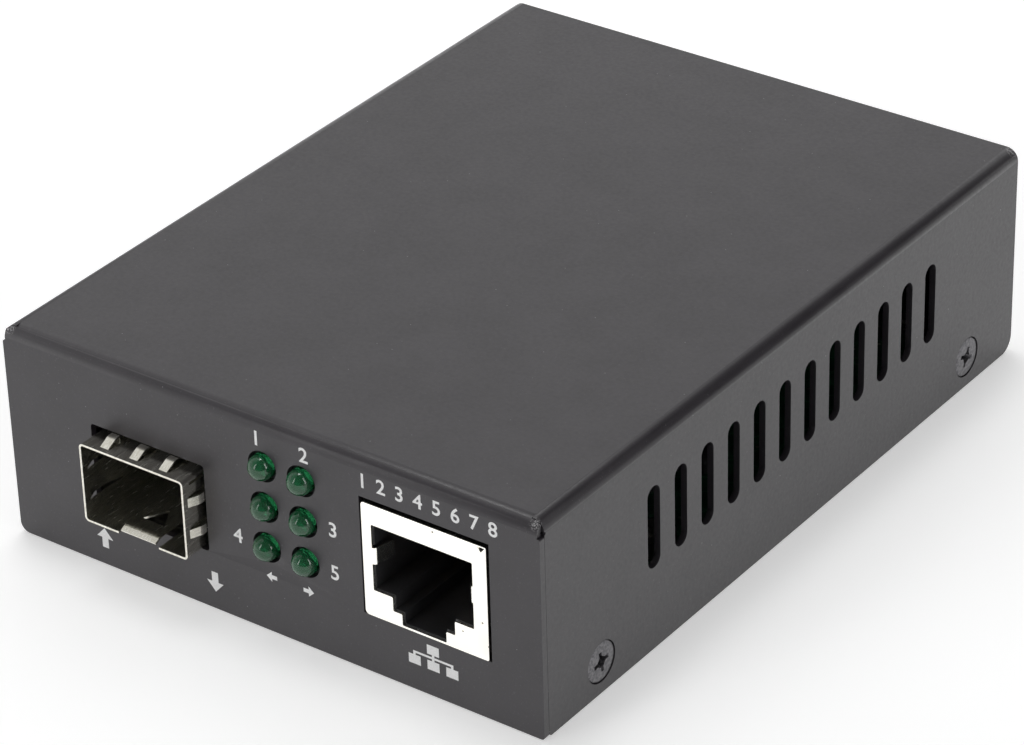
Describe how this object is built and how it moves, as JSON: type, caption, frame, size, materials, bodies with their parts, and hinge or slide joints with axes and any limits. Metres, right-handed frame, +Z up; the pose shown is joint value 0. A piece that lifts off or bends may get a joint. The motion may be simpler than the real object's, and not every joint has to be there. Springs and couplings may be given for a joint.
{
  "type": "fibre media converter",
  "caption": "Small steel-cased fibre media converter: SFP cage, indicator lamps and shielded RJ45 jack in front, vent slots in both sides, DC inlet behind.",
  "frame": {"origin": "centre of the case's underside", "axes": "+X to the right of someone who faces the front panel, +Y from the front panel to the rear panel, +Z up"},
  "size_m": [0.071, 0.0969, 0.0264],
  "materials": {
    "case_paint": "satin black-grey powder coat",
    "screw_steel": "dark zinc",
    "standoff_steel": "zinc plated",
    "board_laminate": "green solder mask",
    "cage_steel": "nickel plated spring steel",
    "jack_nickel": "bright nickel",
    "black_plastic": "moulded, fine grain",
    "contact_gold": "gold plated",
    "lamp_green": "green tinted epoxy",
    "tinned_lead": "tin plated",
    "chip_epoxy": "moulded epoxy",
    "can_aluminium": "drawn can",
    "ferrite": "sintered ferrite",
    "ceramic_tan": "sintered ceramic"
  },
  "bodies": {
    "root": {"top_cover": "case_paint", "bottom_tray": "case_paint", "cover_screws": "screw_steel", "board_standoffs": "standoff_steel", "board_screws": "standoff_steel", "circuit_board": "board_laminate", "sfp_cage": "cage_steel", "sfp_connector": "black_plastic", "sfp_contacts": "contact_gold", "rj45_shield": "jack_nickel", "rj45_housing": "black_plastic", "rj45_contacts": "contact_gold", "lamp_holder_left": "black_plastic", "lamp_holder_right": "black_plastic", "lamp_leads": "tinned_lead", "dc_inlet_body": "black_plastic", "dc_inlet_pin": "jack_nickel", "dc_inlet_spring": "tinned_lead", "lan_transformer": "chip_epoxy", "converter_chip": "chip_epoxy", "memory_chip": "chip_epoxy", "power_regulator": "chip_epoxy", "power_inductor": "ferrite", "input_capacitor": "can_aluminium", "output_capacitor": "can_aluminium", "crystal": "standoff_steel", "surge_diode": "chip_epoxy", "input_fuse": "board_laminate", "chip_capacitors": "ceramic_tan", "chip_resistors": "chip_epoxy", "lamp_left_top": "lamp_green", "lamp_left_middle": "lamp_green", "lamp_left_bottom": "lamp_green", "lamp_right_top": "lamp_green", "lamp_right_middle": "lamp_green", "lamp_right_bottom": "lamp_green"}
  },
  "joints": []
}
